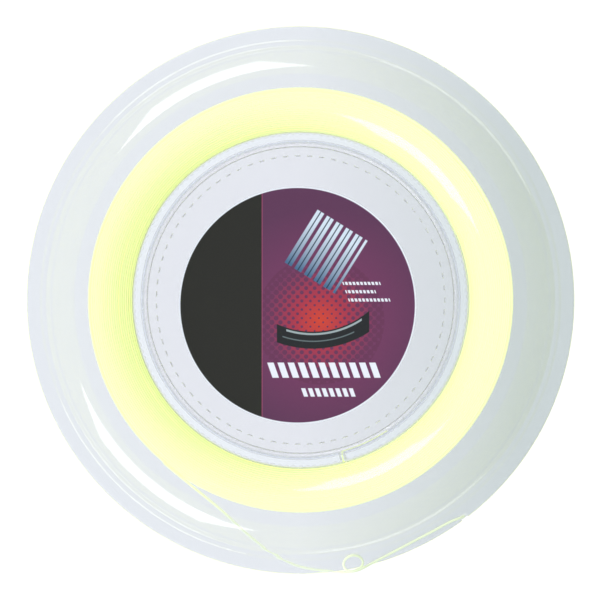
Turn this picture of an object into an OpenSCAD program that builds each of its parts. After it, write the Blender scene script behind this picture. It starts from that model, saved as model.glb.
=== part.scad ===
// Clear plastic reel of racket string, lying on its rear face with the labelled face up.
// +Z is the reel's axis. The origin is on the axis, at the height of the surface it lies on.

/* [Flanges] */
// Outer diameter of both flanges
reel_d = 145; // [140:0.5:156]
// Clear width between the two flanges at their crowns
crown_gap = 25; // [20:0.5:30]
// Wall thickness of the flange, measured square to its surface
wall = 1.6; // [1.3:0.1:2]
// Radius of the rounded shoulders, on their outer face
shoulder_r = 16; // [14:0.5:20]
// Radial width of the shoulder that falls towards the hub
inner_shoulder_w = 9.4; // [7:0.2:10]
// Radial width of the shoulder that falls towards the rim
outer_shoulder_w = 7.9; // [6:0.1:9]

/* [Rim] */
// Radial width of the flat lip outside the bead
lip_w = 3.5; // [2.5:0.1:4]
// Thickness of the lip
lip_t = 1.2; // [1:0.1:1.4]
// Step down from the shoulder's edge to the lip
lip_step = 0.3; // [0.2:0.05:0.4]
// Radial width of the stiffening bead
bead_w = 2.1; // [1.6:0.1:2.4]
// Height of the bead above the lip
bead_h = 0.15; // [0.1:0.05:0.4]
// Width of the notch in the front lip that holds the string's end
notch_w = 2; // [1.8:0.1:2.6]

/* [Drum] */
// Outer diameter of the winding drum, over its ribs
drum_d = 88.8; // [84:0.2:91]
// Wall of the drum, ribs included
drum_wall = 2.8; // [2.2:0.1:3]
// Depth of the fine ribs that grip the first layer
rib_h = 0.4; // [0.2:0.05:0.5]
// Number of fine ribs round the drum
rib_count = 150; // [120:2:180]
// Diameter of the hole that takes the string's inner end
start_hole_d = 1.8; // [1.7:0.1:2.2]

/* [Hub caps] */
// Width of the ledge by which the cap's collar covers the flange
collar_w = 1; // [0.8:0.1:1.3]
// Thickness of the collar
collar_t = 0.8; // [0.6:0.1:1.2]
// Radius of the rounded edge of the cup's mouth
mouth_edge_r = 0.7; // [0.4:0.1:0.7]
// Depth of the cup, from the collar's face to its floor
cup_depth = 7; // [5:0.25:8]
// Depth of the plain mouth above the flutes
mouth_depth = 2.5; // [2:0.1:3]
// Thickness of the cap's wall at the plain mouth
cap_wall = 0.8; // [0.7:0.05:1]
// Thickness of the cup's floor
floor_t = 1.6; // [1.2:0.1:2]
// Width of the ledge under the plain mouth
ledge_w = 1.9; // [1:0.1:2]
// Depth of the flutes inside the cup
flute_h = 0.6; // [0.4:0.1:0.8]
// Number of flutes round the cup
flute_count = 75; // [60:1:90]
// Number of snap posts
post_count = 4; // [3:1:5]
// Radius of the circle that the snap posts stand on
post_circle_r = 22; // [18:0.5:24]
// Diameter of a snap post
post_d = 6; // [5:0.2:7]
// Wall of the socket that takes a post
socket_wall = 1.6; // [1.2:0.1:2]

/* [Label] */
// Diameter of the label
label_d = 63; // [50:0.5:64]
// Thickness of the label
label_t = 0.2; // [0.15:0.05:0.3]
// How far the label is stuck off centre, along X
label_dx = -0.8; // [-1.2:0.1:1.2]
// How far the label is stuck off centre, along Y
label_dy = -1.4; // [-1.5:0.1:1.5]

/* [String] */
// Diameter of the string
string_d = 0.65; // [0.6:0.01:0.7]
// Thickness of the winding on the drum
wound_t = 12.2; // [10:0.1:13]
// Most loops that the outer layer is drawn with
loop_limit = 20; // [12:1:22]
// Length of the inner end that is tucked inside the drum
start_tuck = 12; // [8:0.5:16]

/* [Fits] */
// Clearance between parts that plug into each other
plug_fit = 0.2; // [0.1:0.05:0.25]
// Clearance between a snap post and its socket
snap_fit = 0.05; // [0.03:0.01:0.08]
// Space between a socket's rim and the front cap
socket_room = 1.3; // [0.4:0.1:1.4]
// Space between the string and the plastic beside it
string_room = 0.3; // [0.2:0.05:0.4]

/* [Hidden] */
$fn = 180;

clear = [0.86, 0.89, 0.93, 0.4];
string_colour = [0.93, 1, 0.45];

// Radii, from the axis outwards
drum_r = drum_d / 2;
drum_bore_r = drum_r - drum_wall;
sleeve_r = drum_bore_r - plug_fit;
mouth_r = sleeve_r - cap_wall;
hub_r = drum_r + plug_fit;
crown_in_r = hub_r + inner_shoulder_w;
reel_r = reel_d / 2;
bead_in_r = reel_r - lip_w - bead_w;
crown_out_r = bead_in_r - outer_shoulder_w;
inner_dome_r = shoulder_r - wall;

// Heights below the crown's outer face
hub_drop = shoulder_r - sqrt(pow(shoulder_r, 2) - pow(inner_shoulder_w, 2));
rim_drop = shoulder_r - sqrt(pow(shoulder_r, 2) - pow(outer_shoulder_w, 2));
lip_top = rim_drop + lip_step;
// The shoulder's arc runs on down to the lip, over this width
step_w = sqrt(pow(shoulder_r, 2) - pow(shoulder_r - lip_top, 2)) - outer_shoulder_w;
collar_top = hub_drop - collar_t;
floor_top = collar_top + cup_depth;
floor_bottom = floor_top + floor_t;
thickness = crown_gap + 2 * wall;
mid_z = thickness / 2;
chamber_h = thickness - 2 * floor_bottom;
overlap = 0.3;
first_post_angle = 45;

// The bead is a slice of this circle
bead_r = (pow(bead_w / 2, 2) + pow(bead_h, 2)) / (2 * bead_h);

// The outer layer of string, and the core that it is wound on
layer_r = drum_r + wound_t - string_d / 2;
elbow_r = string_d;
core_r = layer_r - elbow_r - string_d;
half_width = flange_inside(layer_r) - string_room - string_d / 2;
least_gap = 0.42;
loops = min(loop_limit, floor(2 * half_width / (string_d + least_gap)));
pitch = 2 * half_width / loops;
rings_per_loop = 24;
leave_angle = 230;

// The inner end of the string turns off the start hole and lies along the drum's bore
start_angle = 285;
start_room = 0.1;
start_step = 1.5;
start_bend_r = 2 * string_d;
tuck_r = drum_bore_r - string_d / 2 - start_room;

// The notch in the front lip
notch_angle = -53;
notch_depth = 1.4;

// The free end leaves the coil, runs out under the front lip, makes one curl over the lip's
// edge, lies along the lip, and goes down through the notch
tail_route = [
    [-35.6, -43.6, 26], [-28.6, -49.4, 26], [-20.8, -55.8, 25.8], [-16, -60.2, 25.1],
    [-11.3, -64.1, 24.1], [-6.5, -67.6, 23.6], [-1.8, -70.1, 23.5], [3, -71.3, 23.5],
    [7.6, -71.8, 23.7], [10.4, -72.1, 24.1],
    [12.6, -72, 24.8], [14.8, -71.5, 25.7], [16.2, -70.4, 26.2], [16.4, -69, 26.2],
    [15.4, -67.9, 26.5], [13.8, -67.6, 26.8], [12.3, -68.2, 26.8], [11.4, -69.5, 26.7],
    [11.6, -70.9, 26.8], [12.8, -71.8, 27.1], [14.6, -71.7, 27.3], [16.6, -70.9, 27.1],
    [19, -69.6, 26.4], [23.2, -67.4, 26.2], [26.8, -65.5, 26.2], [30.8, -63.4, 26.2],
    [35.2, -61.1, 26.2], [39.2, -58.9, 26.2], [41.6, -57.9, 26.2], [42.7, -57.5, 25.8],
    [43.2, -57.3, 24.8], [43.2, -57.3, 23.6], [43.2, -57.3, 22.4]];

// Half the clear width between the flanges at radius r
function flange_inside(r) =
    let (d = r < crown_in_r ? crown_in_r - r : max(0, r - crown_out_r))
    mid_z - shoulder_r + sqrt(pow(inner_dome_r, 2) - pow(d, 2));

// ---- Swept tubes ----

function unit(v) = v / norm(v);

// Direction of the path at point i
function heading(path, i) =
    i == 0 ? unit(path[1] - path[0]) :
    i == len(path) - 1 ? unit(path[i] - path[i - 1]) :
    unit(unit(path[i + 1] - path[i]) + unit(path[i] - path[i - 1]));

// The part of n that is square to direction t
function squared(n, t) = unit(n - t * (n * t));

// One sideways direction per point, carried along the path without twisting
function side_steps(path, n, i = 0, done = []) =
    i == len(path) ? done :
    let (m = squared(n, heading(path, i)))
    side_steps(path, m, i + 1, concat(done, [m]));

function tube_points(path, d, sides, first_side) =
    let (across = side_steps(path, first_side))
    [for (i = [0:len(path) - 1])
        let (u = across[i], v = cross(heading(path, i), u))
        for (k = [0:sides - 1])
            let (a = 360 * k / sides)
            path[i] + d / 2 * (cos(a) * u + sin(a) * v)];

function tube_faces(rings, sides) = concat(
    [for (k = [1:sides - 2]) [0, k, k + 1]],
    [for (i = [0:rings - 2])
        for (k = [0:sides - 1])
            let (a = i * sides + k, b = i * sides + (k + 1) % sides)
            for (half = [[a, a + sides, b], [b, a + sides, b + sides]])
                half],
    [for (k = [1:sides - 2])
        let (last = (rings - 1) * sides)
        [last, last + k + 1, last + k]]);

module tube(path, d, sides, first_side) {
    polyhedron(tube_points(path, d, sides, first_side), tube_faces(len(path), sides));
}

// ---- Flanges ----

// Everything under the domed outer face, inset by a wall, in the plane of the profile
module dome_2d(inset) {
    radius = shoulder_r - inset;
    for (x = [crown_in_r, crown_out_r])
        translate([x, -shoulder_r])
            circle(radius);
    translate([crown_in_r, -shoulder_r])
        square([crown_out_r - crown_in_r, radius]);
    translate([crown_in_r - radius, -shoulder_r - thickness])
        square([crown_out_r - crown_in_r + 2 * radius, thickness]);
}

// Profile of a flange: hub lip, dome, bead and rim lip. Y is 0 at the crown.
module flange_2d() {
    difference() {
        intersection() {
            dome_2d(0);
            translate([hub_r, -shoulder_r])
                square([bead_in_r - hub_r, shoulder_r]);
        }
        dome_2d(wall);
    }
    translate([drum_bore_r, -hub_drop - wall])
        square([hub_r + overlap - drum_bore_r, wall]);
    intersection() {
        dome_2d(0);
        translate([bead_in_r - overlap, -lip_top - lip_t / 3])
            square([overlap + step_w, lip_t]);
    }
    translate([bead_in_r - overlap, -lip_top - lip_t])
        square([reel_r - lip_t / 2 - bead_in_r + overlap, lip_t]);
    translate([reel_r - lip_t / 2, -lip_top - lip_t / 2])
        circle(lip_t / 2);
    intersection() {
        translate([bead_in_r + bead_w / 2, -lip_top + bead_h - bead_r])
            circle(bead_r);
        translate([bead_in_r + step_w / 2, -lip_top - lip_t / 2])
            square([bead_w - step_w / 2, lip_t]);
    }
}

module flange() {
    rotate_extrude()
        flange_2d();
}

module front_flange() {
    color(clear)
        translate([0, 0, thickness])
            difference() {
                flange();
                rotate([0, 0, notch_angle])
                    translate([reel_r, 0, -lip_top])
                        cube([2 * notch_depth, notch_w, 3 * lip_t], center = true);
            }
}

module rear_flange() {
    color(clear)
        mirror([0, 0, 1])
            flange();
}

// ---- Drum ----

drum_h = thickness - 2 * (hub_drop + wall);

module winding_drum() {
    half_step = 180 / rib_count;
    ribbed = [for (i = [0:2 * rib_count - 1])
        (i % 2 == 0 ? drum_r : drum_r - rib_h) * [cos(i * half_step), sin(i * half_step)]];
    color(clear)
        translate([0, 0, mid_z])
            difference() {
                translate([0, 0, -drum_h / 2])
                    linear_extrude(drum_h)
                        polygon(ribbed);
                cylinder(r = drum_bore_r, h = 2 * drum_h, center = true);
                rotate([0, 0, start_angle])
                    rotate([0, 90, 0])
                        cylinder(d = start_hole_d, h = 2 * drum_r, $fn = 32);
            }
}

// ---- Hub caps ----

// Cross-section of the cup inside its flutes, below the ledge. Tip and flank are shares of a flute's width.
module flutes_2d() {
    tip = 0.25;
    flank = 0.2;
    step = 360 / flute_count;
    root_r = mouth_r - ledge_w;
    tip_r = root_r - flute_h;
    polygon([for (i = [0:flute_count - 1])
        for (corner = [[tip_r, 0], [tip_r, tip], [root_r, tip + flank], [root_r, 1 - flank]])
            corner[0] * [cos((i + corner[1]) * step), sin((i + corner[1]) * step)]]);
}

module mouth_edge() {
    rotate_extrude()
        difference() {
            translate([mouth_r, -mouth_edge_r])
                square([mouth_edge_r, 2 * mouth_edge_r]);
            translate([mouth_r + mouth_edge_r, -mouth_edge_r])
                circle(mouth_edge_r, $fn = 48);
        }
}

// The cup that holds a flange on the drum. Z is 0 at the collar's face, and the cup goes down.
module hub_cap() {
    difference() {
        union() {
            translate([0, 0, -collar_t])
                cylinder(r = sleeve_r + collar_w, h = collar_t);
            translate([0, 0, -cup_depth - floor_t])
                cylinder(r = sleeve_r, h = cup_depth + floor_t - collar_t / 2);
        }
        translate([0, 0, -mouth_depth])
            cylinder(r = mouth_r, h = mouth_depth + 1);
        translate([0, 0, -cup_depth])
            linear_extrude(cup_depth)
                flutes_2d();
        mouth_edge();
    }
}

module at_posts() {
    for (i = [0:post_count - 1])
        rotate([0, 0, first_post_angle + 360 / post_count * i])
            translate([post_circle_r, 0, 0])
                children();
}

module front_hub_cap() {
    post_h = chamber_h - plug_fit;
    color(clear)
        translate([0, 0, thickness - collar_top]) {
            hub_cap();
            at_posts()
                translate([0, 0, -cup_depth - floor_t - post_h])
                    cylinder(d = post_d, h = post_h + floor_t / 2);
        }
}

module rear_hub_cap() {
    socket_h = chamber_h - socket_room;
    socket_bore = post_d + 2 * snap_fit;
    color(clear)
        translate([0, 0, collar_top]) {
            mirror([0, 0, 1])
                hub_cap();
            at_posts()
                translate([0, 0, cup_depth + floor_t - overlap])
                    difference() {
                        cylinder(d = socket_bore + 2 * socket_wall, h = socket_h + overlap);
                        translate([0, 0, overlap])
                            cylinder(d = socket_bore, h = socket_h + 1);
                    }
        }
}

// ---- Label ----

module front_label() {
    color([0.36, 0.2, 0.31])
        translate([label_dx, label_dy, thickness - floor_top])
            cylinder(d = label_d, h = label_t);
}

// ---- String ----

// The inner layers as one ring that fills the space between the flanges
module string_core() {
    color(string_colour)
        rotate_extrude()
            intersection() {
                translate([0, thickness])
                    dome_2d(wall + string_room);
                mirror([0, 1])
                    dome_2d(wall + string_room);
                translate([drum_r + start_room, 0])
                    square([core_r - drum_r - start_room, thickness]);
            }
}

function on_layer(r, angle, z) = [r * cos(angle), r * sin(angle), z];

// Angle that a short step along the outer layer takes
function layer_turn(length) = length / layer_r * 180 / PI;

// The outer layer: out of the core, round in a rising helix, and straight into the free end
winding_start = leave_angle - 360 * loops;
leave_way = [-sin(leave_angle), cos(leave_angle), 0];
winding_end = on_layer(layer_r, leave_angle, mid_z + half_width);
winding_path = concat(
    [on_layer(core_r, winding_start, mid_z - half_width)],
    [for (a = [0:30:60])
        on_layer(core_r + string_d + elbow_r * sin(a),
                 winding_start + layer_turn(elbow_r * (1 - cos(a))), mid_z - half_width)],
    [for (i = [1:loops * rings_per_loop - 1])
        on_layer(layer_r, winding_start + i * 360 / rings_per_loop,
                 mid_z - half_width + pitch * i / rings_per_loop)],
    [winding_end - string_d * leave_way, winding_end]);

winding_gap = min([for (i = [4:len(winding_path) - rings_per_loop])
    for (j = [i + rings_per_loop - 2:min(i + rings_per_loop + 2, len(winding_path) - 1)])
        norm(winding_path[j] - winding_path[i])]) - string_d;

module string_winding() {
    echo(str("least gap between loops of the winding: ", winding_gap, " mm"));
    color(string_colour)
        tube(winding_path, string_d, 6, [0, 0, 1]);
}

// Smooth path through a route's points: a ring every 2.5 diameters, and 2 or more per step
function knot_slope(route, i) =
    i == 0 ? route[1] - route[0] :
    i == len(route) - 1 ? route[i] - route[i - 1] :
    (route[i + 1] - route[i - 1]) / 2;

function smooth_point(route, i, t) =
    let (a = route[i], b = route[i + 1], u = knot_slope(route, i), v = knot_slope(route, i + 1))
    (2 * t * t * t - 3 * t * t + 1) * a + (t * t * t - 2 * t * t + t) * u
    + (3 * t * t - 2 * t * t * t) * b + (t * t * t - t * t) * v;

tail_path = concat(
    [winding_end, winding_end + string_d * leave_way],
    [for (i = [0:len(tail_route) - 2])
        let (steps = max(2, round(norm(tail_route[i + 1] - tail_route[i]) / (2.5 * string_d))))
        for (s = [1:steps])
            smooth_point(tail_route, i, s / steps)]);

module string_tail() {
    color(string_colour)
        tube(tail_path, string_d, 8, [0, 0, 1]);
}

// Point beside the start hole: u is measured from the axis, v sideways
function by_start_hole(u, v) =
    [u * cos(start_angle) - v * sin(start_angle), u * sin(start_angle) + v * cos(start_angle), mid_z];

start_path = concat(
    [by_start_hole(drum_r + start_room, 0)],
    [for (a = [0:15:90])
        by_start_hole(tuck_r + start_bend_r * (1 - sin(a)), start_bend_r * (1 - cos(a)))],
    [for (s = [start_step:start_step:start_tuck])
        let (a = (start_bend_r + s) / tuck_r * 180 / PI)
        by_start_hole(tuck_r * cos(a), tuck_r * sin(a))]);

module string_start() {
    color(string_colour)
        tube(start_path, string_d, 8, [0, 0, 1]);
}

front_flange();
rear_flange();
winding_drum();
front_hub_cap();
rear_hub_cap();
front_label();
string_core();
string_winding();
string_tail();
string_start();
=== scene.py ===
# %% [markdown]
# # A clear reel of racket string
# The reel is five clear mouldings that plug together: two domed flanges, the drum between them and two
# fluted hub caps. 200 m of thin yellow string is wound on the drum, and a label is stuck in the front
# cap. The construction comes packed from CAD as a fixed frame. This notebook models the looks around it.

import math

import bmesh
import bpy
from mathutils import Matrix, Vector


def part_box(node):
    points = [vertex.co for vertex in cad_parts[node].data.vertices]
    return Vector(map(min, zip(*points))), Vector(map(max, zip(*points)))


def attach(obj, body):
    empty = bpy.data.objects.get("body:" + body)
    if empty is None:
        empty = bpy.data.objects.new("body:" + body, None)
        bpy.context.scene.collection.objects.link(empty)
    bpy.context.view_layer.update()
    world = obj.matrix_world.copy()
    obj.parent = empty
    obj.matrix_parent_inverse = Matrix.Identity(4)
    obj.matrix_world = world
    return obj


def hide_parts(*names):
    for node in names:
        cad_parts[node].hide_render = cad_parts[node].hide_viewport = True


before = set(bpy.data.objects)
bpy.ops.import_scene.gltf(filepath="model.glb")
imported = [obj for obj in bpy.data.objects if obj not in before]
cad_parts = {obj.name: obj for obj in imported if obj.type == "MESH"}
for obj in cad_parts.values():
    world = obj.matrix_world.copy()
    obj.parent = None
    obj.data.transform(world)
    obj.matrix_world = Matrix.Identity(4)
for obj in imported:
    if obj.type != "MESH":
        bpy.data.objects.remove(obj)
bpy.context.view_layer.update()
bpy.ops.object.select_all(action="DESELECT")
print("nodes:", sorted(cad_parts))

# %% [markdown]
# Blender works in metres and the reel is small, so sizes are written in millimetres times MM. The overall
# sizes are read from the frame, so that the looks follow the construction. Walls and shoulders can't be
# read from a box, so they are named here.

# %% Sizes
MM = 0.001

reel_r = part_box("rear_flange")[1].x
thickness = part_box("front_flange")[1].z
mid_z = thickness / 2
drum_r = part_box("winding_drum")[1].x
drum_low, drum_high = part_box("winding_drum")[0].z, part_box("winding_drum")[1].z
collar_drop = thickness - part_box("front_hub_cap")[1].z
coil_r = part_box("string_winding")[1].x

wall = 1.6 * MM
shoulder_r = 16 * MM
inner_shoulder_w = 9.4 * MM
outer_shoulder_w = 7.9 * MM
lip_w = 3.5 * MM
lip_t = 1.2 * MM
lip_step = 0.3 * MM
lip_edge_r = 0.35 * MM
bead_w = 2.1 * MM
bead_h = 0.15 * MM
drum_wall = 2.8 * MM
plug_fit = 0.2 * MM
string_d = 0.65 * MM
string_room = 0.3 * MM
drum_room = 0.1 * MM

bore_r = drum_r - drum_wall
hub_r = drum_r + plug_fit
crown_in_r = hub_r + inner_shoulder_w
bead_in_r = reel_r - lip_w - bead_w
crown_out_r = bead_in_r - outer_shoulder_w
print("reel %.1f mm across, %.1f mm thick, crown from %.1f to %.1f mm" %
      (2 * reel_r / MM, thickness / MM, crown_in_r / MM, crown_out_r / MM))

# %% [markdown]
# ## Camera and loose end
# The camera comes first. It looks straight down on the labelled face from far enough away that the far
# flange hides behind the near one. The lens is worked out for a square picture of 600 pixels, of which
# the reel fills 548.

# %% Camera
camera_height = 5
camera_x = -0.16 * MM
picture_width = 600
reel_width_in_picture = 548
sensor = 36

bpy.ops.object.camera_add(location=(camera_x, 0, thickness + camera_height), rotation=(0, 0, 0))
camera = bpy.context.object
camera.data.sensor_width = sensor
camera.data.lens = sensor * camera_height * reel_width_in_picture / (picture_width * 2 * reel_r)
bpy.context.scene.camera = camera
print("lens %.0f mm" % camera.data.lens)

# %% [markdown]
# The loose end is a limp cord. It leaves the coil along a tangent, runs out between the flanges, makes
# one curl over the front lip, lies along the lip and is tucked down through the notch. It could be a
# chain of straight pieces, but a Bezier curve whose handles point along their neighbours' direction
# passes smoothly through every point, and its round bevel gives the string's thickness.

# %% A string through points
def new_string(name, kind, points):
    curve = bpy.data.curves.new(name, "CURVE")
    curve.dimensions = "3D"
    curve.bevel_depth = string_d / 2
    curve.bevel_resolution = 2
    curve.use_fill_caps = True
    spline = curve.splines.new(kind)
    piece = bpy.data.objects.new(name, curve)
    bpy.context.scene.collection.objects.link(piece)
    if kind == "POLY":
        spline.points.add(len(points) - 1)
        for knot, point in zip(spline.points, points):
            knot.co = (*point, 1)
    else:
        spline.bezier_points.add(len(points) - 1)
        curve.resolution_u = 5
        for i, knot in enumerate(spline.bezier_points):
            before, after = points[max(i - 1, 0)], points[min(i + 1, len(points) - 1)]
            reach = (after - before) / (3 if i in (0, len(points) - 1) else 6)
            knot.co = points[i]
            knot.handle_left = points[i] - reach
            knot.handle_right = points[i] + reach
    spline.use_smooth = True
    print(name, len(points), "points")
    return piece


# %% The loose end
leave_angle = math.radians(230)
layer_r = coil_r - string_d / 2
dome_centre_z = mid_z - shoulder_r


def half_room(r):
    """Half the clear width between the flanges at radius r."""
    beside_crown = max(crown_in_r - r, 0, r - crown_out_r)
    return dome_centre_z + math.sqrt((shoulder_r - wall) ** 2 - beside_crown ** 2)


half_width = half_room(layer_r) - string_room - string_d / 2
winding_end = Vector((layer_r * math.cos(leave_angle), layer_r * math.sin(leave_angle), mid_z + half_width))
tail_route = [
    (-35.6, -43.6, 26), (-28.6, -49.4, 26), (-20.8, -55.8, 25.8), (-16, -60.2, 25.1),
    (-11.3, -64.1, 24.1), (-6.5, -67.6, 23.6), (-1.8, -70.1, 23.5), (3, -71.3, 23.5),
    (7.6, -71.8, 23.7), (10.4, -72.1, 24.1), (12.6, -72, 24.8), (14.8, -71.5, 25.7),
    (16.2, -70.4, 26.2), (16.4, -69, 26.2), (15.4, -67.9, 26.5), (13.8, -67.6, 26.8),
    (12.3, -68.2, 26.8), (11.4, -69.5, 26.7), (11.6, -70.9, 26.8), (12.8, -71.8, 27.1),
    (14.6, -71.7, 27.3), (16.6, -70.9, 27.1), (19, -69.6, 26.4), (23.2, -67.4, 26.2),
    (26.8, -65.5, 26.2), (30.8, -63.4, 26.2), (35.2, -61.1, 26.2), (39.2, -58.9, 26.2),
    (41.6, -57.9, 26.2), (42.7, -57.5, 25.8), (43.2, -57.3, 24.8), (43.2, -57.3, 23.6),
    (43.2, -57.3, 22.4)]
loose_end = new_string("loose_end", "BEZIER", [winding_end, *(Vector(point) * MM for point in tail_route)])

# %% [markdown]
# ## Turned shapes
# The flanges, the drum and the caps are round, so each is an outline that is spun round the axis, as on a
# lathe. The outline is drawn in the XZ plane by extruding one vertex, and its corners are rounded with
# the bevel operator. For a fluted part only one flute's sector is spun, its wall is pushed in where the
# flute is, and the sector is copied round, so that every flute is exactly alike, as a mould makes them.

# %% Outline tools
def select_vertices(test):
    mesh = bmesh.from_edit_mesh(bpy.context.object.data)
    for vertex in mesh.verts:
        vertex.select = test(vertex.co)
    mesh.select_flush_mode()
    bmesh.update_edit_mesh(bpy.context.object.data)


def draw_outline(name, outline, closed=True):
    bpy.ops.object.select_all(action="DESELECT")
    bpy.ops.mesh.primitive_plane_add(size=MM)
    piece = bpy.context.object
    piece.name = piece.data.name = name
    bpy.ops.object.mode_set(mode="EDIT")
    bpy.ops.mesh.select_all(action="SELECT")
    bpy.ops.mesh.merge(type="CENTER")
    here = Vector((0, 0, 0))
    for i, (r, z) in enumerate([*outline, outline[0]] if closed else outline):
        step = Vector((r, 0, z)) - here
        if i == 0:
            bpy.ops.transform.translate(value=step)
        else:
            bpy.ops.mesh.extrude_vertices_move(TRANSFORM_OT_translate={"value": step})
        here += step
    bpy.ops.mesh.select_all(action="SELECT")
    bpy.ops.mesh.remove_doubles(threshold=MM / 1000)
    return piece


def round_corners(corners, size, segments=3):
    select_vertices(lambda co: any((co - Vector((r, 0, z))).length < MM / 100 for r, z in corners))
    bpy.ops.mesh.bevel(affect="VERTICES", offset=size, segments=segments)


# %% Spin tools
def spin_all(angle, steps, copies=False):
    """Spins anticlockwise, seen from +Z. The operator turns clockwise round +Z, so its axis points down."""
    bpy.ops.mesh.select_all(action="SELECT")
    bpy.ops.mesh.spin(steps=steps, angle=angle, dupli=copies, center=(0, 0, 0), axis=(0, 0, -1))
    bpy.ops.mesh.select_all(action="SELECT")
    bpy.ops.mesh.remove_doubles(threshold=MM / 1000)


def push_wall(angle, radii, heights, amount):
    """Moves the part of the outline that stands at this angle outwards by amount."""
    out = Vector((math.cos(angle), math.sin(angle), 0))
    slack = MM / 100

    def on_wall(co):
        r = co.dot(out)
        beside = (co - r * out).to_2d().length
        return (beside < slack and radii[0] - slack <= r <= radii[1] + slack
                and heights[0] - slack <= co.z <= heights[1] + slack)

    select_vertices(on_wall)
    bpy.ops.transform.translate(value=amount * out)


def close_mesh(piece):
    bpy.ops.mesh.select_all(action="SELECT")
    bpy.ops.mesh.normals_make_consistent(inside=False)
    bpy.ops.object.mode_set(mode="OBJECT")
    return piece


def apply_modifier(piece, kind, **settings):
    modifier = piece.modifiers.new(kind.title(), kind)
    for name, value in settings.items():
        setattr(modifier, name, value)
    bpy.ops.object.select_all(action="DESELECT")
    piece.select_set(True)
    bpy.context.view_layer.objects.active = piece
    bpy.ops.object.modifier_apply(modifier=modifier.name)


def cut_or_join(piece, operation, other):
    apply_modifier(piece, "BOOLEAN", operation=operation, object=other, solver="EXACT")
    bpy.data.objects.remove(other)


def polish(piece, smooth_angle=35):
    """Shades the curved faces smooth and keeps the flat ones flat, as a polished mould leaves them."""
    bpy.ops.object.select_all(action="DESELECT")
    piece.select_set(True)
    bpy.context.view_layer.objects.active = piece
    bpy.ops.object.shade_smooth_by_angle(angle=math.radians(smooth_angle))
    apply_modifier(piece, "WEIGHTED_NORMAL", mode="FACE_AREA", keep_sharp=True)
    print(piece.name, len(piece.data.polygons), "faces")


def arc(centre_r, centre_z, radius, start, end, steps):
    """Points along an arc. Angles are in degrees, from the outward direction towards +Z."""
    turn = [math.radians(start + (end - start) * i / steps) for i in range(steps + 1)]
    return [(centre_r + radius * math.cos(a), centre_z + radius * math.sin(a)) for a in turn]


# %% [markdown]
# ## Flanges
# Each flange is moulded in clear polystyrene: a flat hub lip, a dome over the coil, a stiffening bead and
# a thin lip with a round edge. The dome is two arcs with a flat crown between them, and its inner face is
# the same arcs less the wall, so the wall is even. The shoulder runs straight on at its last slope until
# it meets the bead. Heights in the outline are measured from the crown. The front and the rear flange
# come out of one mould, so one function makes both.

# %% Flange outline
around_flange = 256
shoulder_steps = 18
crease_r = 0.15 * MM
shoulder_foot_r = 0.2 * MM
bead_foot_r = 0.16 * MM


def drop_at(width):
    """How far the shoulder has fallen at this width from the crown."""
    return shoulder_r - math.sqrt(shoulder_r ** 2 - width ** 2)


hub_top = -drop_at(inner_shoulder_w)
shoulder_end = -drop_at(outer_shoulder_w)
lip_top = shoulder_end - lip_step
last_slope = outer_shoulder_w / math.sqrt(shoulder_r ** 2 - outer_shoulder_w ** 2)
bead_circle_r = ((bead_w / 2) ** 2 + bead_h ** 2) / (2 * bead_h)
bead_half_angle = math.degrees(math.asin(bead_w / 2 / bead_circle_r))
inside_end_r = crown_out_r + math.sqrt((shoulder_r - wall) ** 2 - (shoulder_r + lip_top - lip_t) ** 2)


def dome(radius, first_r, last_r):
    inner = math.degrees(math.asin((crown_in_r - first_r) / radius))
    outer = math.degrees(math.asin((last_r - crown_out_r) / radius))
    return (arc(crown_in_r, -shoulder_r, radius, 90 + inner, 90, shoulder_steps)
            + arc(crown_out_r, -shoulder_r, radius, 90, 90 - outer, shoulder_steps))


bead = [(r, z) for r, z in arc(bead_in_r + bead_w / 2, lip_top + bead_h - bead_circle_r, bead_circle_r,
                               90 + bead_half_angle, 90 - bead_half_angle, 12)
        if z > shoulder_end - last_slope * (r - bead_in_r)]
flange_outline = (
    [(bore_r, hub_top)]
    + dome(shoulder_r, hub_r, bead_in_r)
    + bead
    + arc(reel_r - lip_edge_r, lip_top - lip_edge_r, lip_edge_r, 90, 0, 6)
    + arc(reel_r - lip_edge_r, lip_top - lip_t + lip_edge_r, lip_edge_r, 0, -90, 6)
    + dome(shoulder_r - wall, hub_r, inside_end_r)[::-1]
    + [(hub_r, hub_top - wall), (bore_r, hub_top - wall)])
print("flange outline has", len(flange_outline), "points")

# %% Make both flanges
def make_flange(name, to_z):
    piece = draw_outline(name, [(r, to_z(z)) for r, z in flange_outline])
    round_corners([(hub_r, to_z(hub_top))], crease_r)
    round_corners([(bead_in_r, to_z(shoulder_end))], shoulder_foot_r)
    round_corners([(r, to_z(z)) for r, z in (bead[0], bead[-1])], bead_foot_r, 4)
    spin_all(2 * math.pi, around_flange)
    return close_mesh(piece)


front_flange = make_flange("front_flange_moulding", lambda z: thickness + z)
rear_flange = make_flange("rear_flange_moulding", lambda z: -z)

# %% [markdown]
# The notch that holds the string's end can't come from a spin, so a rounded block is cut out of the lip
# with a Boolean.

# %% Cut the notch
notch_angle = math.radians(-53)
notch_w = 2 * MM
notch_depth = 1.4 * MM
notch_corner_r = 0.35 * MM

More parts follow.
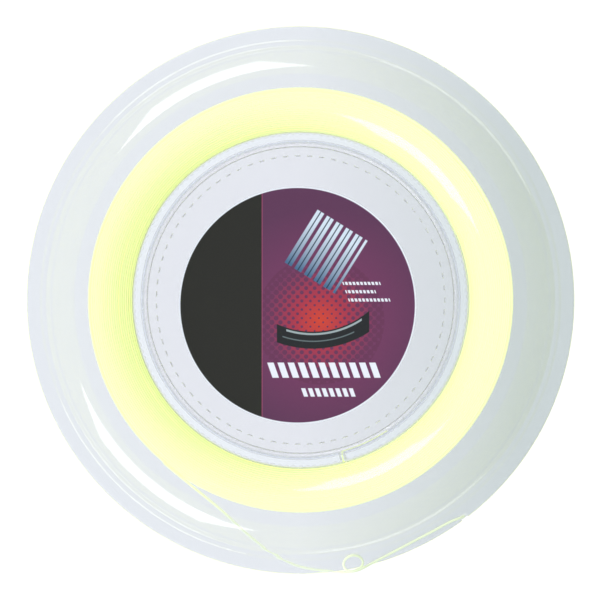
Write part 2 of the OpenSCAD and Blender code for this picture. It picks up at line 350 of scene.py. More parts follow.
bpy.ops.object.select_all(action="DESELECT")
bpy.ops.mesh.primitive_cube_add(size=1)
notch = bpy.context.object
bpy.ops.object.mode_set(mode="EDIT")
bpy.ops.transform.resize(value=(2 * notch_depth, notch_w, 4 * lip_t))
bpy.ops.mesh.bevel(offset=notch_corner_r, segments=3, affect="EDGES")
bpy.ops.transform.translate(value=(reel_r, 0, thickness + lip_top))
bpy.ops.transform.rotate(value=-notch_angle, orient_axis="Z", center_override=(0, 0, 0))
bpy.ops.object.mode_set(mode="OBJECT")
notch_middle = sum((Vector(corner) for corner in notch.bound_box), Vector()) / 8
print("notch at %.0f degrees" % math.degrees(math.atan2(notch_middle.y, notch_middle.x)))
cut_or_join(front_flange, "DIFFERENCE", notch)
polish(front_flange)
polish(rear_flange)

# %% [markdown]
# ## Drum
# The drum is a tube with fine ribs outside, which grip the first layer of string. Seen end on through the
# flange, the ribs are the row of fine ticks at the coil's inner edge. Touching faces of clear plastic
# keep a hair of air between them, as real ones do, or the renderer couldn't tell which comes first.

# %% Drum
rib_count = 150
rib_h = 0.6 * MM
columns_per_rib = 4
air_gap = 0.05 * MM
drum_edge_r = 0.1 * MM
near_wall = 0.2 * MM
drum_bottom, drum_top = drum_low + air_gap, drum_high - air_gap
drum_inside = [(bore_r, drum_bottom), (bore_r, drum_top)]
drum_outside = [(drum_r, drum_bottom), (drum_r, drum_top)]

drum = draw_outline("drum_moulding", [drum_inside[0], *drum_outside, drum_inside[1]])
round_corners(drum_inside + drum_outside, drum_edge_r, 2)
rib_angle = 2 * math.pi / rib_count
spin_all(rib_angle, columns_per_rib)
for column in range(1, columns_per_rib):
    angle = column * rib_angle / columns_per_rib
    depth = rib_h * math.sin(math.pi * column / columns_per_rib)
    push_wall(angle, (drum_r - near_wall, drum_r), (drum_low, drum_high), -depth)
spin_all(2 * math.pi - rib_angle, rib_count - 1, copies=True)
close_mesh(drum)
print(rib_count, "ribs, %.2f mm apart" % (rib_angle * drum_r / MM))

# %% The hole for the string's inner end
start_angle = math.radians(285)
start_hole_d = 1.8 * MM

bpy.ops.object.select_all(action="DESELECT")
bpy.ops.mesh.primitive_cylinder_add(vertices=32, radius=start_hole_d / 2, depth=4 * drum_wall)
drill = bpy.context.object
bpy.ops.object.mode_set(mode="EDIT")
bpy.ops.transform.rotate(value=math.pi / 2, orient_axis="Y", center_override=(0, 0, 0))
bpy.ops.transform.translate(value=(drum_r, 0, mid_z))
bpy.ops.transform.rotate(value=-start_angle, orient_axis="Z", center_override=(0, 0, 0))
bpy.ops.object.mode_set(mode="OBJECT")
cut_or_join(drum, "DIFFERENCE", drill)
polish(drum, 50)

# %% [markdown]
# ## Hub caps
# A hub cap is a clear cup. Its collar covers the flange's bore, and below a plain mouth and a ledge its
# wall is fluted. One flute's sector is spun in twelve columns, and each column's wall is pushed in by the
# flute's depth there: full on the tip, nothing on the root, and a smooth step between them.

# %% Cap outline
flute_count = 75
flute_h = 0.6 * MM
columns_per_flute = 12
sleeve_r = bore_r - plug_fit
collar_w = 1 * MM
collar_r = sleeve_r + collar_w
collar_t = 0.8 * MM - air_gap
cap_wall = 0.8 * MM
cap_corner_r = 0.25 * MM
mouth_r = sleeve_r - cap_wall
mouth_edge_r = 0.7 * MM
mouth_depth = 2.5 * MM
ledge_w = 1.9 * MM
root_r = mouth_r - ledge_w
tip_edge_r = 0.3 * MM
cup_depth = 7 * MM
floor_t = 1.6 * MM
cup_under = cup_depth + floor_t
floor_ring_w = 3 * MM
tip_half_share = 0.17
flank_share = 0.165

cap_outline = (
    [(0, cup_under), (sleeve_r, cup_under), (sleeve_r, collar_t), (collar_r, collar_t), (collar_r, 0)]
    + arc(mouth_r + mouth_edge_r, mouth_edge_r, mouth_edge_r, -90, -180, 6)
    + [(mouth_r, mouth_depth), (root_r, mouth_depth), (root_r, mouth_depth + tip_edge_r / 3),
       (root_r, mouth_depth + tip_edge_r), (root_r, cup_depth), (root_r - floor_ring_w, cup_depth),
       (0, cup_depth)])
print("cap outline has", len(cap_outline), "points")


def flute_depth(share):
    """Depth of the flute at this share of its width, where 0 is a tip's middle and 0.5 a root's."""
    from_tip = min(share, 1 - share)
    ramp = min(max((tip_half_share + flank_share - from_tip) / flank_share, 0), 1)
    return flute_h * ramp * ramp * (3 - 2 * ramp)


# %% Make both caps
def make_cap(name, to_z):
    piece = draw_outline(name, [(r, to_z(z)) for r, z in cap_outline], closed=False)
    round_corners([(sleeve_r, to_z(cup_under)), (collar_r, to_z(0))], cap_corner_r)
    flute_angle = 2 * math.pi / flute_count
    spin_all(flute_angle, columns_per_flute)
    for column in range(columns_per_flute + 1):
        angle = column * flute_angle / columns_per_flute
        depth = flute_depth(column / columns_per_flute)
        edge = tip_edge_r if depth == flute_h else 0
        push_wall(angle, (root_r, root_r), (to_z(mouth_depth),) * 2, edge - depth)
        push_wall(angle, (root_r, root_r), (to_z(mouth_depth + tip_edge_r / 3),) * 2, edge / 3 - depth)
        below_edge = sorted([to_z(mouth_depth + tip_edge_r), to_z(cup_depth)])
        push_wall(angle, (root_r - near_wall, root_r), below_edge, -depth)
    spin_all(2 * math.pi - flute_angle, flute_count - 1, copies=True)
    return close_mesh(piece)


front_face_z = thickness - collar_drop
front_cap = make_cap("front_cap_moulding", lambda depth: front_face_z - depth)
rear_cap = make_cap("rear_cap_moulding", lambda depth: collar_drop + depth)

# %% [markdown]
# Four posts on the front cap plug into four sockets on the rear cap, behind the label. One is turned on
# the axis, moved out to its place and copied round, and a Boolean union melts the four into the cap's
# floor.

# %% Posts and sockets
post_circle_r = 22 * MM
post_r = 3 * MM
post_corner_r = 0.5 * MM
snap_fit = 0.05 * MM
socket_wall = 1.6 * MM
socket_corner_r = 0.3 * MM
socket_room = 1.3 * MM
sunk = 0.3 * MM
around_post = 48
front_under_z = front_face_z - cup_under
rear_under_z = collar_drop + cup_under
post_end_z = rear_under_z + plug_fit
socket_top_z = front_under_z - socket_room


def stand_round(piece):
    bpy.ops.mesh.select_all(action="SELECT")
    bpy.ops.transform.translate(value=(post_circle_r, 0, 0))
    bpy.ops.transform.rotate(value=-math.pi / 4, orient_axis="Z", center_override=(0, 0, 0))
    spin_all(1.5 * math.pi, 3, copies=True)
    return close_mesh(piece)


posts = draw_outline("posts", [(0, front_under_z + sunk), (post_r, front_under_z + sunk),
                               (post_r, post_end_z), (0, post_end_z)], closed=False)
round_corners([(post_r, post_end_z)], post_corner_r)
spin_all(2 * math.pi, around_post)
cut_or_join(front_cap, "UNION", stand_round(posts))

socket_in, socket_out = post_r + snap_fit, post_r + snap_fit + socket_wall
sockets = draw_outline("sockets", [(socket_in, rear_under_z - sunk), (socket_out, rear_under_z - sunk),
                                   (socket_out, socket_top_z), (socket_in, socket_top_z)])
round_corners([(socket_out, socket_top_z), (socket_in, socket_top_z)], socket_corner_r)
spin_all(2 * math.pi, around_post)
cut_or_join(rear_cap, "UNION", stand_round(sockets))
polish(front_cap, 40)
polish(rear_cap, 40)

# %% [markdown]
# ## Label
# The label is a disc of coated paper. It is turned like the rest, with a round edge, and then moved a
# little off centre, where a hand stuck it. A hair of glue keeps it off the plastic.

# %% Label
label_low, label_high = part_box("front_label")
label_middle = (label_low + label_high) / 2
label_r = (label_high.x - label_low.x) / 2
glue = 0.01 * MM
paper_edge_r = 0.06 * MM
around_label = 192

label = draw_outline("printed_label", [(0, label_low.z + glue), (label_r, label_low.z + glue),
                                       (label_r, label_high.z), (0, label_high.z)], closed=False)
round_corners([(label_r, label_low.z + glue), (label_r, label_high.z)], paper_edge_r, 2)
spin_all(2 * math.pi, around_label)
bpy.ops.transform.translate(value=(label_middle.x, label_middle.y, 0))
polish(close_mesh(label))

# %% [markdown]
# ## Coil
# The coil holds 200 m of string in about 19 layers. What shows is its skin: the outer layer, and through
# each flange the turns where the layers end. So the outer layer is one unbroken helix of 36 turns, each
# face is one spiral, and under them a core carries the next turns as ridges that lie in the gaps, as
# wound string does. Real turns are never quite even, so each path wavers a little. The wavering is a sum
# of sines whose periods don't fit a turn, so that no two turns are alike and the result is the same in
# each run.

# %% Path tools
def on_circle(r, angle, z):
    return Vector((r * math.cos(angle), r * math.sin(angle), z))


def waver(turned, size):
    return size * (math.sin(0.73 * turned) + math.sin(2.41 * turned + 1) + math.sin(5.17 * turned + 2)) / 3


def face_height(r):
    """Height above the reel's middle of the centre of a turn that lies on the coil's face."""
    return half_room(r) - string_room - string_d / 2


# %% Outer layer
loops = 36
points_per_loop = 96
loop_pitch = 2 * half_width / loops
elbow = 2 * string_d
elbow_turn = 0.04
turn_sag = 0.1 * MM
turn_drift = 0.07 * MM
outer_path = [on_circle(layer_r - elbow, leave_angle - elbow_turn, mid_z - half_width + string_d / 4)]
outer_path.append(on_circle(layer_r - elbow / 3, leave_angle - elbow_turn / 2,
                            mid_z - half_width + string_d / 8))
for i in range(loops * points_per_loop + 1):
    share = i / (loops * points_per_loop)
    steady = min(1, 20 * (1 - share), 20 * share)
    turned = 2 * math.pi * loops * share
    outer_path.append(on_circle(layer_r - abs(waver(turned, turn_sag)) * steady, leave_angle + turned,
                                mid_z - half_width + 2 * half_width * share
                                + waver(1.3 * turned, turn_drift) * steady))
outer_layer = new_string("outer_layer_of_string", "POLY", outer_path)

# %% Face turns
first_turn_r = drum_r + string_d / 2 + drum_room
turn_lap = 0.8
face_drift = 0.04 * MM
face_dip = 0.05 * MM
face_turns = int((layer_r - first_turn_r) / (turn_lap * string_d))
face_pitch = (layer_r - first_turn_r) / face_turns


def face_spiral(name, side, twist):
    path = []
    for i in range((face_turns - 1) * points_per_loop + 1):
        turned = 2 * math.pi * i / points_per_loop
        r = first_turn_r + face_pitch * i / points_per_loop + waver(turned + twist, face_drift)
        dip = abs(waver(1.9 * turned + twist, face_dip))
        path.append(on_circle(r, twist + turned, mid_z + side * (face_height(r) - dip)))
    return new_string(name, "POLY", path)


front_turns = face_spiral("front_turns_of_string", 1, 0.4)
rear_turns = face_spiral("rear_turns_of_string", -1, 2.7)

# %% Core with a ridge for each turn below the skin
nest = string_d * math.sqrt(3) / 2
ridge_steps = 3
ridge_half_angle = 55
around_core = 144


def ridge(r, z, facing):
    return arc(r, z, string_d / 2, facing + ridge_half_angle, facing - ridge_half_angle, ridge_steps)


core_outline = [(drum_r + drum_room, mid_z - face_height(drum_r) + nest),
                (drum_r + drum_room, mid_z + face_height(drum_r) - nest)]
ridge_radii = [first_turn_r + face_pitch * (k + 0.5) for k in range(face_turns)]
for r in ridge_radii:
    core_outline += ridge(r, mid_z + face_height(r) - nest, 90)
for k in range(1, loops):
    core_outline += ridge(layer_r - nest, mid_z + half_width - loop_pitch * k, 0)
for r in reversed(ridge_radii):
    core_outline += ridge(r, mid_z - face_height(r) + nest, -90)
core = draw_outline("core_of_string", core_outline)
spin_all(2 * math.pi, around_core)
polish(close_mesh(core), 60)

# %% [markdown]
# The inner end of the string goes through the drum's hole, turns in a quarter circle and lies along the
# bore.

# %% Inner end
bend_r = 2 * string_d
tuck_r = bore_r - string_d / 2 - drum_room
tuck_length = 12 * MM
inward = Vector((math.cos(start_angle), math.sin(start_angle), 0))
sideways = Vector((-math.sin(start_angle), math.cos(start_angle), 0))
middle = Vector((0, 0, mid_z))

inner_path = [middle + (drum_r + drum_room) * inward]
for step in range(7):
    turn = math.radians(15 * step)
    inner_path.append(middle + (tuck_r + bend_r * (1 - math.sin(turn))) * inward
                      + bend_r * (1 - math.cos(turn)) * sideways)
for step in range(1, 9):
    angle = (bend_r + tuck_length * step / 8) / tuck_r
    inner_path.append(middle + tuck_r * (math.cos(angle) * inward + math.sin(angle) * sideways))
inner_end = new_string("inner_end_of_string", "POLY", inner_path)

# %% [markdown]
# ## Materials
# Colours are written as sRGB hex values and turned to the linear values that a shader needs. One small
# function adds a node, gives it its settings and joins its inputs to other nodes or to plain values.

# %% Colour and node tools
def srgb(code):
    shares = [int(code[i:i + 2], 16) / 255 for i in (1, 3, 5)]
    return (*(s / 12.92 if s <= 0.04045 else ((s + 0.055) / 1.055) ** 2.4 for s in shares), 1)


def add_node(tree, kind, inputs={}, **settings):
    node = tree.nodes.new(kind)
    for name, value in settings.items():
        setattr(node, name, value)
    for socket, source in inputs.items():
        if isinstance(source, bpy.types.NodeSocket):
            tree.links.new(source, node.inputs[socket])
        else:
            node.inputs[socket].default_value = source
    return node


def new_material(name):
    material = bpy.data.materials.new(name)
    material.use_nodes = True
    material.node_tree.nodes.clear()
    return material, material.node_tree


# %% [markdown]
# ### Clear polystyrene
# The mouldings are general-purpose polystyrene: water clear, glossy, with an index of refraction of 1.59.
# Moulding leaves a faint waviness some 7 mm long, and handling leaves a haze that varies over 15 mm. A
# path tracer finds lamps through clear plastic only by chance, so for shadow rays and for light that
# bounces off a matt surface the plastic is plain see-through film, which keeps the string and the label
# evenly lit. For the same reason the light that thick clear walls pipe up from below is a faint glow of
# the drum and the caps.

# %% Clear polystyrene
wave_length = 7 * MM
wave_h = 0.2 * MM
wear_length = 15 * MM


def clear_polystyrene(name, tint, haze, piped_light):
    material, tree = new_material(name)
    place = add_node(tree, "ShaderNodeTexCoord").outputs["Object"]
    wave = add_node(tree, "ShaderNodeTexNoise", {"Vector": place, "Scale": 1 / wave_length, "Detail": 1})
    bump = add_node(tree, "ShaderNodeBump", {"Height": wave.outputs[0], "Strength": 0.05,
                                             "Distance": wave_h})
    wear = add_node(tree, "ShaderNodeTexNoise", {"Vector": place, "Scale": 1 / wear_length, "Detail": 4})
    roughness = add_node(tree, "ShaderNodeMapRange", {"Value": wear.outputs[0], "From Min": 0.3,
                                                      "From Max": 0.7, "To Min": haze / 2, "To Max": haze})
    plastic = add_node(tree, "ShaderNodeBsdfPrincipled", {
        "Base Color": srgb(tint), "Roughness": roughness.outputs[0], "IOR": 1.59, "Transmission Weight": 1,
        "Emission Color": srgb("#F4F8FF"), "Emission Strength": piped_light, "Normal": bump.outputs[0]})
    film = add_node(tree, "ShaderNodeBsdfTransparent", {"Color": srgb("#F4F7F8")})
    rays = add_node(tree, "ShaderNodeLightPath")
    no_lens = add_node(tree, "ShaderNodeMath", {0: rays.outputs["Is Shadow Ray"],
                                                1: rays.outputs["Is Diffuse Ray"]}, operation="MAXIMUM")
    both = add_node(tree, "ShaderNodeMixShader", {0: no_lens.outputs[0], 1: plastic.outputs[0],
                                                  2: film.outputs[0]})
    add_node(tree, "ShaderNodeOutputMaterial", {"Surface": both.outputs[0]})
    print(name, len(tree.nodes), "nodes")
    return material


flange_plastic = clear_polystyrene("clear_polystyrene_flange", "#EEF0F3", 0.07, 0)
drum_plastic = clear_polystyrene("clear_polystyrene_drum", "#FAFBFC", 0.04, 0.06)
cap_plastic = clear_polystyrene("clear_polystyrene_cap", "#E9EAEE", 0.05, 0.025)

# %% [markdown]
# ### Coated nylon string
# The string is a bundle of nylon filaments under a thin, slightly soft coat in a fluorescent yellow. The
# dye gives back more yellow-green light than falls on it, which a glow of its own colour stands for; the
# glow is also painted light that fills the shade between the turns. The coil's colour holds painted light:
# the turns light each other, the outer ones most, so they are painted paler than the deep ones beside the
# drum, and paler on the right than on the left. The loose end, which lies alone, is painted with shade: it
# is duller, most of all over the lip, where no clear plastic gathers light on it. Each turn varies a
# little in tone along its length. The streaks follow the turns, because the noise is read slowly round
# the axis and once per turn outwards. The filaments show through the coat as a fine weave, 0.25 mm from
# crossing to crossing.

# %% Where a point of the string is
nylon, tree = new_material("coated_fluorescent_nylon")
place = add_node(tree, "ShaderNodeTexCoord").outputs["Object"]
parts = add_node(tree, "ShaderNodeSeparateXYZ", {0: place})
flat = add_node(tree, "ShaderNodeCombineXYZ", {0: parts.outputs["X"], 1: parts.outputs["Y"]})
radius = add_node(tree, "ShaderNodeVectorMath", {0: flat.outputs[0]}, operation="LENGTH")
direction = add_node(tree, "ShaderNodeVectorMath", {0: flat.outputs[0]}, operation="NORMALIZE")
direction_parts = add_node(tree, "ShaderNodeSeparateXYZ", {0: direction.outputs[0]})
outwards = add_node(tree, "ShaderNodeMath", {0: radius.outputs["Value"], 1: parts.outputs["Z"]},
                    operation="ADD")
turns = add_node(tree, "ShaderNodeMath", {0: outwards.outputs[0], 1: 1 / string_d}, operation="MULTIPLY")
along = add_node(tree, "ShaderNodeCombineXYZ", {0: direction_parts.outputs["X"],
                                                1: direction_parts.outputs["Y"], 2: turns.outputs[0]})

# %% Shades of yellow
streak_shift = 1 * MM
deep_w = 8 * MM
clear_of_coil = 5 * MM
curl_from, curl_to = 9 * MM, 15 * MM

streaks = add_node(tree, "ShaderNodeTexNoise", {"Vector": along.outputs[0], "Scale": 1.1, "Detail": 2})
streak = add_node(tree, "ShaderNodeMapRange", {"Value": streaks.outputs[0], "From Min": 0.3,
                                               "From Max": 0.7, "To Min": -streak_shift,
                                               "To Max": streak_shift})
# Painted light: the coil's yellow is paler outwards and towards the right, and deepest beside the drum on
# the left.
painted_light_radius = add_node(tree, "ShaderNodeMath", {0: parts.outputs["X"], 1: 0.08, 2: radius.outputs["Value"]},
                     operation="MULTIPLY_ADD")
reach = add_node(tree, "ShaderNodeMath", {0: painted_light_radius.outputs[0], 1: streak.outputs[0]}, operation="ADD")
painted_light_share = add_node(tree, "ShaderNodeMapRange", {"Value": reach.outputs[0], "From Min": drum_r,
                                              "From Max": drum_r + deep_w})
in_coil = add_node(tree, "ShaderNodeMix", {0: painted_light_share.outputs[0], 6: srgb("#F3F9A0"), 7: srgb("#FBFDB6")},
                   data_type="RGBA")
# Painted shade: beyond the coil the loose end is duller, and duller still over the lip.
alone = add_node(tree, "ShaderNodeMapRange", {"Value": radius.outputs["Value"], "From Min": coil_r,
                                              "From Max": coil_r + clear_of_coil})
over_lip = add_node(tree, "ShaderNodeMapRange", {"Value": parts.outputs["X"], "From Min": curl_from,
                                                 "From Max": curl_to})
loose_end_painted_shade = add_node(tree, "ShaderNodeMix", {0: over_lip.outputs[0], 6: srgb("#E5EAC8"), 7: srgb("#CCD5B2")},
                 data_type="RGBA")
colour = add_node(tree, "ShaderNodeMix", {0: alone.outputs[0], 6: in_coil.outputs[2], 7: loose_end_painted_shade.outputs[2]},
                  data_type="RGBA")

# %% Weave and coat
weave_pitch = 0.25 * MM
weave_h = 0.03 * MM

weave = add_node(tree, "ShaderNodeTexVoronoi", {"Vector": place, "Scale": 1 / weave_pitch})
bump = add_node(tree, "ShaderNodeBump", {"Height": weave.outputs["Distance"], "Strength": 0.15,
                                         "Distance": weave_h})
# The glow stands for the dye's fluorescence and is also painted light that fills the shade between the
# turns.
coat = add_node(tree, "ShaderNodeBsdfPrincipled", {
    "Base Color": colour.outputs[2], "Roughness": 0.38, "IOR": 1.53, "Coat Weight": 0.3,
    "Coat Roughness": 0.2, "Emission Color": colour.outputs[2], "Emission Strength": 0.5,
    "Normal": bump.outputs[0]})
add_node(tree, "ShaderNodeOutputMaterial", {"Surface": coat.outputs[0]})
print(nylon.name, len(tree.nodes), "nodes")

# %% [markdown]
# ### Printed label
# The label is coated paper, printed in colour and left plain at its edge. Its print is generic: a
# charcoal field and a plum field with a red glow, a fan of pale blue bars, a halftone of plum dots, a
# dark sweep and rows of white dashes. All of it is drawn in millimetres from the label's middle. Each
# motif is a mask that is 1 where its ink lies, and the inks are laid over each other in the order of the
# list.

# %% Masks for the print
paper, tree = new_material("printed_coated_paper")
place = add_node(tree, "ShaderNodeTexCoord").outputs["Object"]
print_edge = 0.08


def label_axes(middle, turn):
    """The print's two axes in millimetres, from a middle and turned by an angle in degrees."""
    spot = Vector((label_middle.x, label_middle.y, 0)) / MM + Vector((*middle, 0))
    moved = add_node(tree, "ShaderNodeVectorMath", {0: place, 1: (1 / MM, 1 / MM, 0), 2: tuple(-spot)},
                     operation="MULTIPLY_ADD")
    turned = add_node(tree, "ShaderNodeVectorRotate", {"Vector": moved.outputs[0],
                                                       "Angle": -math.radians(turn)})
    parts = add_node(tree, "ShaderNodeSeparateXYZ", {0: turned.outputs[0]})
    return parts.outputs["X"], parts.outputs["Y"]


def between(value, low, high, soft=print_edge):
    """1 where value lies between low and high, with an edge as soft as ink on paper."""
    rise = add_node(tree, "ShaderNodeMapRange", {"Value": value, "From Min": low - soft,
                                                 "From Max": low + soft})
    fall = add_node(tree, "ShaderNodeMapRange", {"Value": value, "From Min": high - soft,
                                                 "From Max": high + soft, "To Min": 1, "To Max": 0})
    return add_node(tree, "ShaderNodeMath", {0: rise.outputs[0], 1: fall.outputs[0]},
                    operation="MULTIPLY").outputs[0]


def where_all(*masks):
    """1 where every one of the masks is 1."""
    shared = masks[0]
    for mask in masks[1:]:
        shared = add_node(tree, "ShaderNodeMath", {0: shared, 1: mask}, operation="MULTIPLY").outputs[0]
    return shared


def distance_from(middle):
    x, y = label_axes(middle, 0)
    flat = add_node(tree, "ShaderNodeCombineXYZ", {0: x, 1: y})
    return add_node(tree, "ShaderNodeVectorMath", {0: flat.outputs[0]}, operation="LENGTH").outputs["Value"]


def repeated(value, pitch, width):
    """1 on stripes of this width, one per pitch."""
    place_in_pitch = add_node(tree, "ShaderNodeMath", {0: value, 1: pitch / 2}, operation="PINGPONG")
    return between(place_in_pitch.outputs[0], -1, width / 2)


# %% Red glow on plum
label_u = label_axes((0, 0), 0)[0]
from_middle = distance_from((0, 0))
from_glow = distance_from((6, -4))
split_u = -9.5
inks = []

glow = add_node(tree, "ShaderNodeValToRGB", {0: add_node(tree, "ShaderNodeMapRange", {
    "Value": from_glow, "From Min": 0, "From Max": 30}).outputs[0]})
glow.color_ramp.elements[0].color = srgb("#E2492F")
glow.color_ramp.elements[1].color = srgb("#663A57")
for stop, code in ((0.22, "#B8394A"), (0.5, "#7B3D60")):
    glow.color_ramp.elements.new(stop).color = srgb(code)

# %% Halftone dots
dot_u, dot_v = label_axes((0, 0), 45)
dot_size = add_node(tree, "ShaderNodeMapRange", {"Value": from_glow, "From Min": 3, "From Max": 17,
                                                 "To Min": 0.25, "To Max": 0.85})
dot_place = add_node(tree, "ShaderNodeCombineXYZ", {
    0: add_node(tree, "ShaderNodeMath", {0: dot_u, 1: 0.8}, operation="PINGPONG").outputs[0],
    1: add_node(tree, "ShaderNodeMath", {0: dot_v, 1: 0.8}, operation="PINGPONG").outputs[0]})
dot_reach = add_node(tree, "ShaderNodeVectorMath", {0: dot_place.outputs[0]}, operation="LENGTH")
in_dot = add_node(tree, "ShaderNodeMath", {0: dot_reach.outputs["Value"], 1: dot_size.outputs[0]},
                  operation="LESS_THAN")
inks.append((srgb("#713857"), where_all(in_dot.outputs[0], between(from_glow, -1, 17))))

# %% Fan of bars
bar_along, bar_across = label_axes((6.5, 14), 58)
bars = where_all(repeated(bar_across, 3, 2.1), between(bar_across, -8.6, 7.6), between(bar_along, -7.5, 9),
                 between(from_middle, -1, 26))
steel_to_white = add_node(tree, "ShaderNodeMapRange", {"Value": bar_along, "From Min": -7, "From Max": 6})
bar_ink = add_node(tree, "ShaderNodeMix", {0: steel_to_white.outputs[0], 6: srgb("#4E7391"),
                                           7: srgb("#E6F0F5")}, data_type="RGBA")
inks.append((bar_ink.outputs[2], bars))
inks.append((srgb("#2C3E4C"), where_all(bars, repeated(bar_across, 3, 0.3))))

# %% Dark sweep and rows of dashes
from_sweep = distance_from((4, 16))
inks.append((srgb("#262827"), where_all(between(from_sweep, 23, 27.5), between(label_u, split_u + 4, 19))))
inks.append((srgb("#AEBAB6"), where_all(between(from_sweep, 23.4, 23.9), between(label_u, -3, 17))))
inks.append((srgb("#6E7B78"), where_all(between(from_sweep, 25.4, 25.7), between(label_u, -4, 15))))

row_across, row_height = label_axes((7, -17.2), 0)
leaning = add_node(tree, "ShaderNodeMath", {0: row_height, 1: 0.35, 2: row_across},
                   operation="MULTIPLY_ADD")
for low, high, left, right, pitch, width in ((-2, 2, -15, 15, 2.7, 1.7), (-7, -4.8, -8, 6, 1.8, 1.1),
                                             (22.6, 23.4, 13, 23, 1, 0.65), (20.4, 21.2, 13, 21, 1, 0.65),
                                             (18.2, 19, 13, 24, 1, 0.65)):
    row = where_all(between(row_height, low, high), between(leaning.outputs[0], left, right),
                    repeated(leaning.outputs[0], pitch, width))
    inks.append((srgb("#FFFFFF"), row))

# %% Charcoal field and white edge
inks.append((srgb("#2C2B23"), between(label_u, -40, split_u)))
inks.append((srgb("#A8506C"), between(label_u, split_u, split_u + 0.2, 0.05)))
inks.append((srgb("#FFFFFF"), between(from_middle, label_r / MM - 0.4, 40)))

colour = glow.outputs[0]
for ink, mask in inks:
    colour = add_node(tree, "ShaderNodeMix", {0: mask, 6: colour, 7: ink}, data_type="RGBA").outputs[2]

# %% Coated paper
fibre_length = 0.4 * MM
fibre_h = 0.02 * MM

fibres = add_node(tree, "ShaderNodeTexNoise", {"Vector": place, "Scale": 1 / fibre_length, "Detail": 3})
gloss = add_node(tree, "ShaderNodeMapRange", {"Value": fibres.outputs[0], "To Min": 0.6, "To Max": 0.8})
bump = add_node(tree, "ShaderNodeBump", {"Height": fibres.outputs[0], "Strength": 0.1, "Distance": fibre_h})
printed = add_node(tree, "ShaderNodeBsdfPrincipled", {"Base Color": colour, "Roughness": gloss.outputs[0],
                                                      "Specular IOR Level": 0.3, "Normal": bump.outputs[0]})
add_node(tree, "ShaderNodeOutputMaterial", {"Surface": printed.outputs[0]})
print(paper.name, len(inks), "inks,", len(tree.nodes), "nodes")

# %% [markdown]
# ## Dress the frame
# Each piece rides on the reel's one body, stands for its CAD node, which it hides, and takes its material.

# %% Dress the frame
def dress(piece, material, slot, *nodes):
    piece.data.materials.clear()
    piece.data.materials.append(material)
    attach(piece, "root")
    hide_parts(*nodes)
    print(piece.name, "stands for", *nodes)


dress(front_flange, flange_plastic, "clear_flange", "front_flange")
dress(rear_flange, flange_plastic, "clear_flange", "rear_flange")
dress(drum, drum_plastic, "clear_drum", "winding_drum")
dress(front_cap, cap_plastic, "clear_cap", "front_hub_cap")
dress(rear_cap, cap_plastic, "clear_cap", "rear_hub_cap")
dress(label, paper, "label", "front_label")
dress(core, nylon, "string", "string_core")
dress(front_turns, nylon, "string", "string_core")
dress(rear_turns, nylon, "string", "string_core")
dress(outer_layer, nylon, "string", "string_winding")
dress(inner_end, nylon, "string", "string_start")
dress(loose_end, nylon, "string", "string_tail")

# %% [markdown]
# ## Studio
# The reel lies on a white table. Two soft boxes stand left of it, high up, at the top and the bottom, and
# the room is dim on the right. A tilted surface shows a lamp at twice its own tilt, so the lamps' places
# are given as angles from the vertical, which puts each highlight on the right band of the shoulders. The
# camera sees table and surroundings as plain white. Through the clear plastic they are white as well,
# with painted shade that greys the table a little under the reel's right half, away from the lamps. Only
# a part of the table takes real light, which leaves a faint shadow.

# %% Table
floor_size = 4
below_reel = 0.1 * MM
shadow_share = 0.1
white_level = 1.12

bpy.ops.object.select_all(action="DESELECT")
bpy.ops.mesh.primitive_plane_add(size=floor_size, location=(0, 0, -below_reel))
table = bpy.context.object
table.name = "table"
print(table.name, floor_size, "m across")

# %% Matt white board
matt_white, tree = new_material("matt_white_board")
rays = add_node(tree, "ShaderNodeLightPath")
seen = add_node(tree, "ShaderNodeMath", {0: rays.outputs["Is Camera Ray"],
                                         1: rays.outputs["Is Transmission Ray"]}, operation="MAXIMUM")
seen = add_node(tree, "ShaderNodeMath", {0: seen.outputs[0], 1: rays.outputs["Is Glossy Ray"]},
                operation="MAXIMUM")
share = add_node(tree, "ShaderNodeMath", {0: seen.outputs[0], 1: 1 - shadow_share}, operation="MULTIPLY")
lit = add_node(tree, "ShaderNodeBsdfDiffuse", {"Color": srgb("#F5F5F5")})
# Painted shade: seen through the clear plastic the table greys towards the reel's right, away from the
# lamps.
reach = add_node(tree, "ShaderNodeSeparateXYZ", {0: add_node(tree, "ShaderNodeTexCoord").outputs["Object"]})
fall = add_node(tree, "ShaderNodeMapRange", {"Value": reach.outputs["X"], "From Min": 0,
                                             "From Max": 0.8 * reel_r})
through = add_node(tree, "ShaderNodeMix", {0: fall.outputs[0], 6: srgb("#FFFFFF"), 7: srgb("#D8E0DA")},
                   data_type="RGBA")
shown = add_node(tree, "ShaderNodeMix", {0: rays.outputs["Is Camera Ray"], 6: through.outputs[2],
                                         7: srgb("#FFFFFF")}, data_type="RGBA")
white = add_node(tree, "ShaderNodeEmission", {"Color": shown.outputs[2], "Strength": white_level})
board = add_node(tree, "ShaderNodeMixShader", {0: share.outputs[0], 1: lit.outputs[0], 2: white.outputs[0]})
add_node(tree, "ShaderNodeOutputMaterial", {"Surface": board.outputs[0]})
table.data.materials.append(matt_white)
print(matt_white.name, len(tree.nodes), "nodes")

# %% Lamps
lamp_height = 1.5


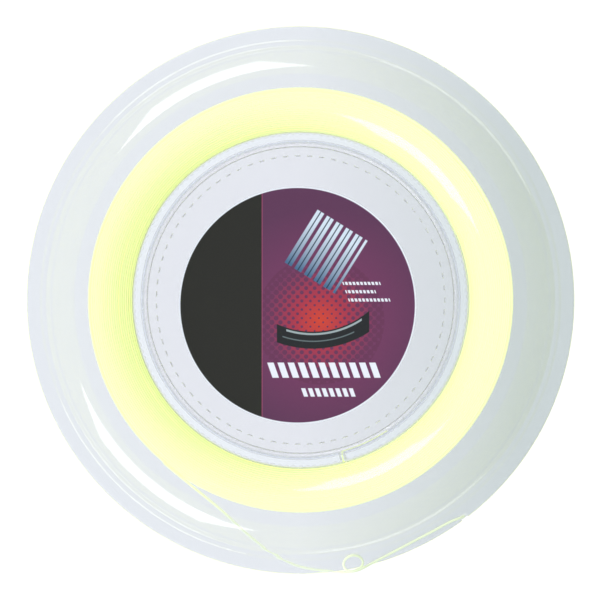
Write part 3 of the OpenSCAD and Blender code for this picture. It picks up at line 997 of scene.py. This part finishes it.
def soft_box(name, azimuth, tilts, half_turn, radiance):
    """Hangs a lamp level above the table. Seen from the reel it stands at this azimuth and spans half_turn
    to either side, and tilts are the angles from the vertical to its near and its far edge."""
    near, far = (lamp_height * math.tan(math.radians(tilt)) for tilt in tilts)
    distance = (near + far) / 2
    bpy.ops.object.light_add(type="AREA", rotation=(0, 0, math.radians(azimuth)),
                             location=on_circle(distance, math.radians(azimuth), thickness + lamp_height))
    lamp = bpy.context.object
    lamp.name = lamp.data.name = name
    lamp.data.shape = "RECTANGLE"
    lamp.data.size, lamp.data.size_y = far - near, 2 * distance * math.tan(math.radians(half_turn))
    lamp.data.energy = radiance * math.pi * lamp.data.size * lamp.data.size_y
    lamp.visible_camera = False
    print("%s %.2f x %.2f m, %.1f W" % (name, lamp.data.size, lamp.data.size_y, lamp.data.energy))


soft_box("top_left_box", 114, (22, 40), 18.5, 2.8)
soft_box("bottom_left_box", 230, (23, 41), 20.5, 3)

# %% Surroundings
studio = bpy.data.worlds.new("studio")
bpy.context.scene.world = studio
studio.use_nodes = True
tree = studio.node_tree
tree.nodes.clear()
way = add_node(tree, "ShaderNodeTexCoord").outputs["Generated"]
side = add_node(tree, "ShaderNodeSeparateXYZ", {0: way})
across = add_node(tree, "ShaderNodeMapRange", {"Value": side.outputs["X"], "From Min": 0, "From Max": 0.7})
room = add_node(tree, "ShaderNodeMix", {0: across.outputs[0], 6: srgb("#D5DAEA"), 7: srgb("#707D79")},
                data_type="RGBA")
dim = add_node(tree, "ShaderNodeBackground", {"Color": room.outputs[2], "Strength": 1.3})
white = add_node(tree, "ShaderNodeBackground", {"Color": srgb("#FFFFFF"), "Strength": white_level})
rays = add_node(tree, "ShaderNodeLightPath")
seen = add_node(tree, "ShaderNodeMath", {0: rays.outputs["Is Camera Ray"],
                                         1: rays.outputs["Is Transmission Ray"]}, operation="MAXIMUM")
around_reel = add_node(tree, "ShaderNodeMixShader", {0: seen.outputs[0], 1: dim.outputs[0],
                                                     2: white.outputs[0]})
add_node(tree, "ShaderNodeOutputWorld", {"Surface": around_reel.outputs[0]})
print(studio.name, len(tree.nodes), "nodes")

bpy.context.scene.view_settings.view_transform = "Standard"
bpy.context.scene.cycles.max_bounces = 32
bpy.context.scene.cycles.transmission_bounces = 32
bpy.context.scene.cycles.transparent_max_bounces = 32
